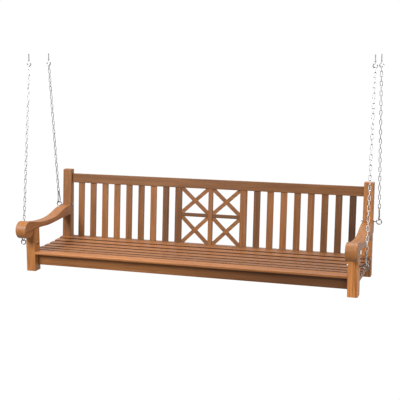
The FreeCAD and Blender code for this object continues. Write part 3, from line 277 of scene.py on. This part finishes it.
# Tone of each board: 1 is the middle of the timber's range.
LEFT_SLAT_TONES = (0.74, 0.68, 0.78, 0.84, 0.64, 0.62, 0.94, 0.42)
RIGHT_SLAT_TONES = (0.46, 0.78, 0.88, 0.66, 0.72, 0.58, 0.44, 0.26)
SEAT_SLAT_TONES = (1.02, 0.72, 0.74, 0.86, 0.84, 0.92, 0.86)
FRAME_TONES = {
    "left_front_post": 1.18, "right_front_post": 1.72, "left_rear_post": 0.72,
    "right_rear_post": 1.06, "left_arm": 0.98, "right_arm": 0.98, "front_rail": 0.78,
    "rear_rail": 0.70, "top_rail": 0.56, "left_side_rail": 0.90, "right_side_rail": 0.9,
    "seat_bearers": 0.75, "joint_pegs": 0.6,
}
FRAME_GRAIN = {
    "left_front_post": "Z", "right_front_post": "Z", "left_rear_post": "Z", "right_rear_post": "Z",
    "left_arm": "Y", "right_arm": "Y", "front_rail": "X", "rear_rail": "X", "top_rail": "X",
    "left_side_rail": "Y", "right_side_rail": "Y", "seat_bearers": "Y", "joint_pegs": "X",
}
STILE_TONES = {"left_stile": 0.46, "right_stile": 0.74, "centre_stile": 0.78}
LATTICE_TONES = {"mid_rails": 0.38, "rising_lattice_bars": 0.72, "falling_lattice_bars": 0.66}


def dress_wood():
    for node, tone in FRAME_TONES.items():
        dark = 0.78 if node == "front_rail" else 0.0
        dress(node, teak(node, FRAME_GRAIN[node], tone, darker_right=dark,
                         leaning=node in ("top_rail", "rear_rail")))
    # The seat slats behind the first get painted shade on their front faces, in the gaps.
    for index, tone in enumerate(SEAT_SLAT_TONES, start=1):
        node = "seat_slat_%d" % index
        dress(node, teak(node, "X", tone * 1.08, warmth=0.012, darker_right=0.3,
                         painted_front_shade=0.0 if index == 1 else 0.9))
    for word, tones in (("left", LEFT_SLAT_TONES), ("right", RIGHT_SLAT_TONES)):
        for index, tone in enumerate(tones, start=1):
            node = "%s_back_slat_%d" % (word, index)
            dress(node, teak(node, "Z", tone, leaning=True))
    for node, tone in STILE_TONES.items():
        dress(node, teak(node, "Z", tone, leaning=True))
    for node, tone in LATTICE_TONES.items():
        dress(node, teak(node, "X", tone, leaning=True))


# ---------------------------------------------------------------- steel

def steel(name, colour, low, high):
    """Zinc-plated steel with a mottled sheen."""
    material = bpy.data.materials.new(name)
    graph = Graph(material)
    where = graph.add("ShaderNodeTexCoord").outputs["Object"]
    cloud = graph.noise(where, 90.0, 3.0, 0.6)
    grit = graph.noise(where, 900.0, 2.0, 0.6)
    # Painted shade: ambient occlusion darkens the steel where links and parts close in, standing
    # also for dirt.
    occlusion_shade = graph.add("ShaderNodeAmbientOcclusion", samples=4)
    occlusion_shade.inputs["Distance"].default_value = STEEL_SHADE_AND_DIRT_REACH
    tint = graph.ramp(cloud, ((0.3, shade(colour, 0.82)), (0.7, colour)))
    tint = graph.mix(graph.span(occlusion_shade.outputs["AO"], 0.8, 0.2, 0.0, 0.7), tint,
                     shade(colour, 0.25) + (1.0,))
    roughness = graph.span(cloud, 0.3, 0.7, low, high)
    height = graph.math("ADD", grit, graph.math("MULTIPLY", cloud, 2.0))
    graph.finish(tint, roughness, graph.bump(height, 0.15, 0.0003), metallic=1.0)
    return material


def dress_steel():
    chain = steel("zinc_chain", (0.62, 0.62, 0.625), 0.20, 0.36)
    bright = steel("bright_steel", (0.42, 0.42, 0.425), 0.20, 0.34)
    dull = steel("screw_steel", (0.22, 0.19, 0.16), 0.35, 0.55)
    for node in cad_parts:
        if node.endswith("_chain"):
            dress(node, chain)
        elif node == "seat_screws":
            dress(node, dull)
        elif "snap" in node or node.startswith("eye_bolt") or node == "ceiling_hooks":
            dress(node, bright)


# ---------------------------------------------------------------- studio

def stage_card(name, mesh, glow, camera, glossy):
    """A shining card that lights nothing: the camera or gloss sees it, or both."""
    card = bpy.data.objects.new(name, mesh)
    bpy.context.scene.collection.objects.link(card)
    material = bpy.data.materials.new(name + "_glow")
    graph = Graph(material)
    light = graph.add("ShaderNodeEmission")
    light.inputs["Color"].default_value = (1.0, 1.0, 1.0, 1.0)
    graph.feed(light.inputs["Strength"], glow(graph))
    out = graph.add("ShaderNodeOutputMaterial")
    graph.join(light.outputs[0], out.inputs["Surface"])
    mesh.materials.append(material)
    card.visible_diffuse = False
    card.visible_shadow = False
    card.visible_transmission = False
    card.visible_camera = camera
    card.visible_glossy = glossy


def shell_mesh(name, radius):
    mesh = bpy.data.meshes.new(name)
    shell = bmesh.new()
    bmesh.ops.create_uvsphere(shell, u_segments=48, v_segments=24, radius=radius)
    shell.to_mesh(mesh)
    shell.free()
    return mesh


def studio_gloss(graph):
    """What gloss shows: a white wall behind and above the bench, a dim room in front."""
    split = graph.add("ShaderNodeSeparateXYZ")
    graph.join(graph.add("ShaderNodeTexCoord").outputs["Object"], split.inputs[0])
    behind = graph.span(split.outputs["Y"], -0.30 * GLOSS_RADIUS, 0.45 * GLOSS_RADIUS, 0.16, 1.0)
    above = graph.span(split.outputs["Z"], 0.25 * GLOSS_RADIUS, 0.9 * GLOSS_RADIUS, 0.0, 0.5)
    return graph.math("ADD", behind, above)


def white(graph):
    return CARD_GLOW


def surround():
    """A white floor that shows no shadow, a white shell, and the shell that gloss mirrors."""
    half = FLOOR_SPAN / 2
    low = cad_low[2] - FLOOR_DROP
    floor = bpy.data.meshes.new("floor")
    corners = [(-half, -half, low), (half, -half, low), (half, half, low), (-half, half, low)]
    floor.from_pydata(corners, [], [(0, 1, 2, 3)])
    stage_card("floor", floor, white, True, False)
    stage_card("backdrop", shell_mesh("backdrop", DOME_RADIUS), white, True, False)
    stage_card("gloss_room", shell_mesh("gloss_room", GLOSS_RADIUS), studio_gloss, False, True)


def area_light(name, place, target, size, power):
    light = bpy.data.lights.new(name, "AREA")
    light.shape = "SQUARE"
    light.size = size
    light.energy = power
    lamp = bpy.data.objects.new(name, light)
    lamp.location = place
    lamp.rotation_euler = (Vector(target) - Vector(place)).to_track_quat("-Z", "Y").to_euler()
    bpy.context.scene.collection.objects.link(lamp)


def studio():
    scene = bpy.context.scene
    world = bpy.data.worlds.new("studio")
    scene.world = world
    world.use_nodes = True
    sky = world.node_tree.nodes["Background"]
    sky.inputs["Color"].default_value = (1.0, 1.0, 1.0, 1.0)
    sky.inputs["Strength"].default_value = WORLD_LIGHT
    scene.view_settings.view_transform = "Standard"
    low = Vector(cad_low)
    high = Vector(cad_high)
    middle = (low + high) / 2
    seat = Vector((middle.x, middle.y, low.z + SEAT_RISE))
    for name, offset, size, power in LIGHTS:
        area_light(name, seat + Vector(offset), seat, size, power)
    surround()


def camera():
    data = bpy.data.cameras.new("camera")
    data.sensor_width = SENSOR_WIDTH
    data.lens = CAMERA_LENS
    data.clip_end = 100.0
    eye = bpy.data.objects.new("camera", data)
    eye.location = CAMERA_PLACE
    eye.rotation_euler = (math.radians(90.0 + CAMERA_PITCH), math.radians(CAMERA_ROLL),
                          math.radians(CAMERA_YAW))
    bpy.context.scene.collection.objects.link(eye)
    bpy.context.scene.camera = eye


camera()
dress_wood()
dress_steel()
studio()
